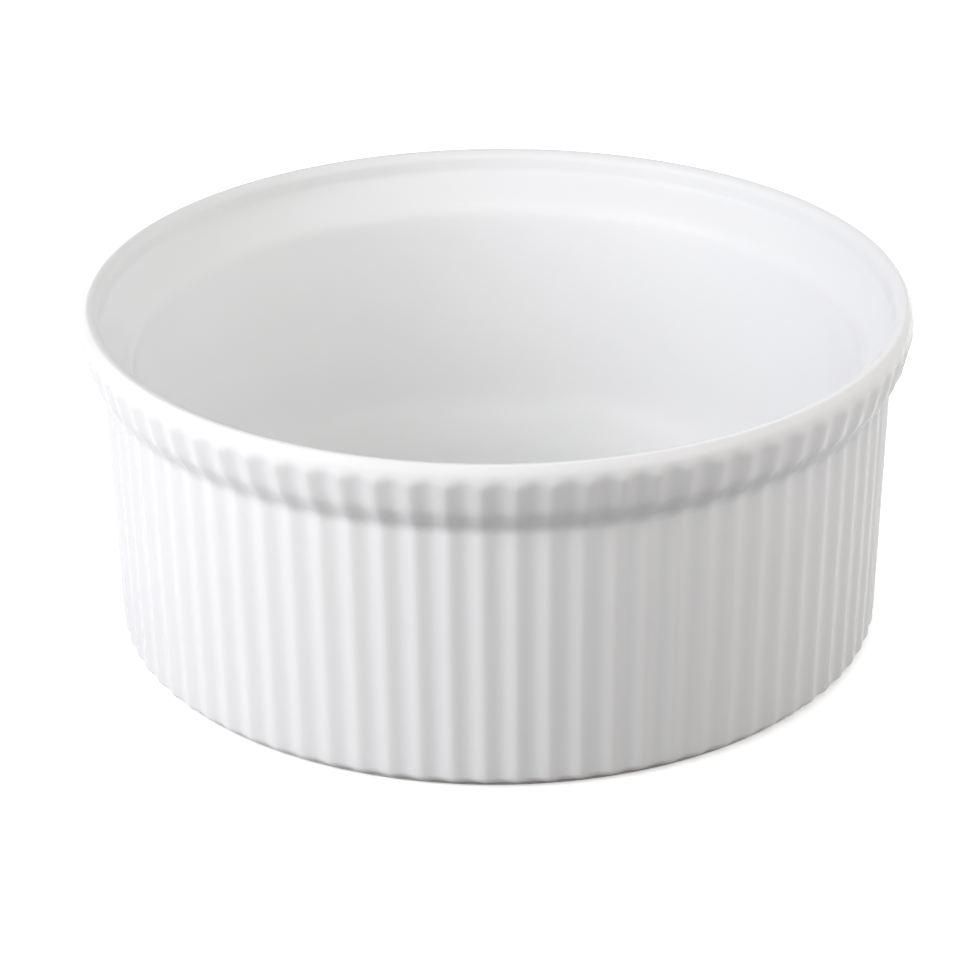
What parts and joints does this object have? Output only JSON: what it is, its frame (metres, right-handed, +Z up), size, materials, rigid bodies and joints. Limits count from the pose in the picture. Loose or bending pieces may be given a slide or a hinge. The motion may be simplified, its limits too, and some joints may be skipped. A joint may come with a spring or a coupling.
{
  "type": "baking dish",
  "caption": "Round straight-sided baking dish in white glazed porcelain, with an upright fluted wall, a stepped-out fluted collar and a smooth rounded lip.",
  "frame": {"origin": "centre of the circle that the foot ring stands on", "axes": "+Z up along the dish's axis; the front of the dish looks along -Y; +X to the right seen from the front"},
  "size_m": [0.2, 0.2, 0.084],
  "materials": {
    "rim_glaze": "clear glossy glaze over white porcelain, thinned on the lip",
    "collar_glaze": "clear glossy glaze over white porcelain, pooled in the flutes",
    "wall_glaze": "clear glossy glaze over white porcelain, pooled in the flutes",
    "floor_glaze": "clear glossy glaze over white porcelain, smooth inside",
    "foot_bisque": "unglazed ground porcelain, matt"
  },
  "bodies": {
    "root": {"rim_lip": "rim_glaze", "rim_collar": "collar_glaze", "fluted_wall": "wall_glaze", "dish_floor": "floor_glaze", "foot_ring": "foot_bisque"}
  },
  "joints": []
}
